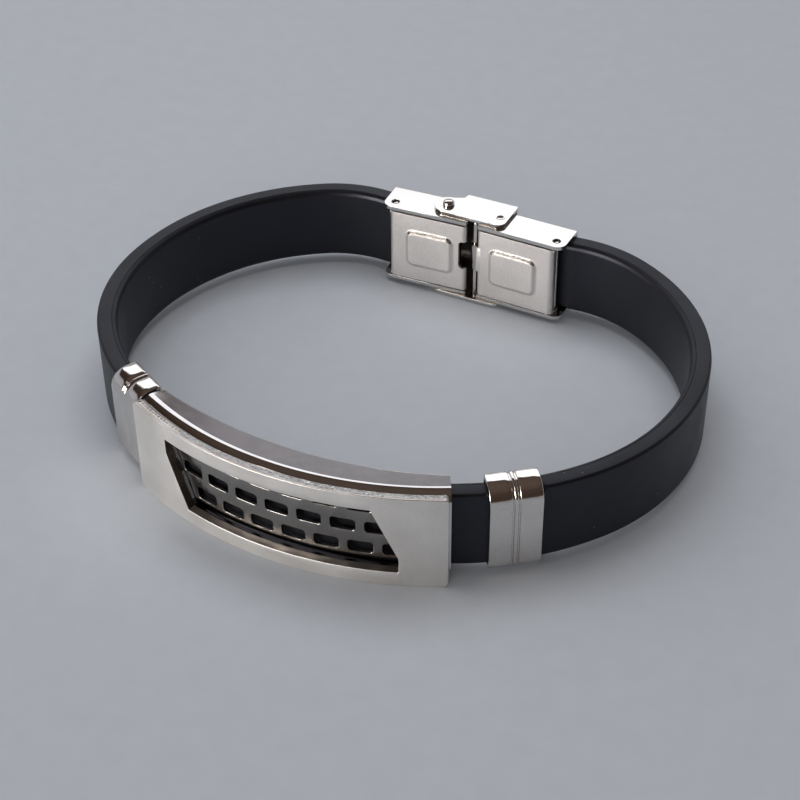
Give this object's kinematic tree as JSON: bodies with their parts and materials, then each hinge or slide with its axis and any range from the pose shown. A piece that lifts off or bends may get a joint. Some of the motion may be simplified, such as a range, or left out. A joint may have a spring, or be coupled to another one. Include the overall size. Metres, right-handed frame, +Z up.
{
  "type": "rubber bracelet",
  "caption": "Closed wrist bracelet: a flat silicone strap, a curved steel front plate with a slanted window, and a folding steel box clasp.",
  "frame": {"origin": "on the surface that the bracelet lies on, below the middle of its bounding box", "axes": "+X along the loop's longer diameter, -Y towards the front plate, +Y towards the clasp, +Z up, along the width of the strap"},
  "size_m": [0.0744, 0.0606, 0.013],
  "materials": {
    "silicone": "matte moulded",
    "satin_steel": "satin",
    "polished_steel": "polished"
  },
  "bodies": {
    "bracelet": {"strap": "silicone", "front_plate": "satin_steel", "plate_housing": "polished_steel", "grid_sheet": "satin_steel", "keeper_left": "polished_steel", "keeper_right": "polished_steel", "clasp_box_left": "polished_steel", "clasp_box_right": "polished_steel", "lid_pin_left": "polished_steel", "lid_pin_right": "polished_steel", "link_rivet": "polished_steel"},
    "lever": {"clasp_link": "polished_steel", "catch_bar": "polished_steel"},
    "left_lid": {"clasp_lid_left": "satin_steel"},
    "right_lid": {"clasp_lid_right": "satin_steel"}
  },
  "joints": [
    {"name": "lever_hinge", "type": "hinge", "parent": "bracelet", "child": "lever", "pos_m": [-0.0049, 0.027, 0.00622], "axis": [0, 0, 1], "range_deg": [0, 60]},
    {"name": "left_lid_hinge", "type": "hinge", "parent": "bracelet", "child": "left_lid", "pos_m": [-0.0118, 0.02546, 0.00622], "axis": [0, 0, -1], "range_deg": [0, 90]},
    {"name": "right_lid_hinge", "type": "hinge", "parent": "bracelet", "child": "right_lid", "pos_m": [0.0107, 0.02573, 0.00622], "axis": [0, 0, 1], "range_deg": [0, 90]}
  ]
}
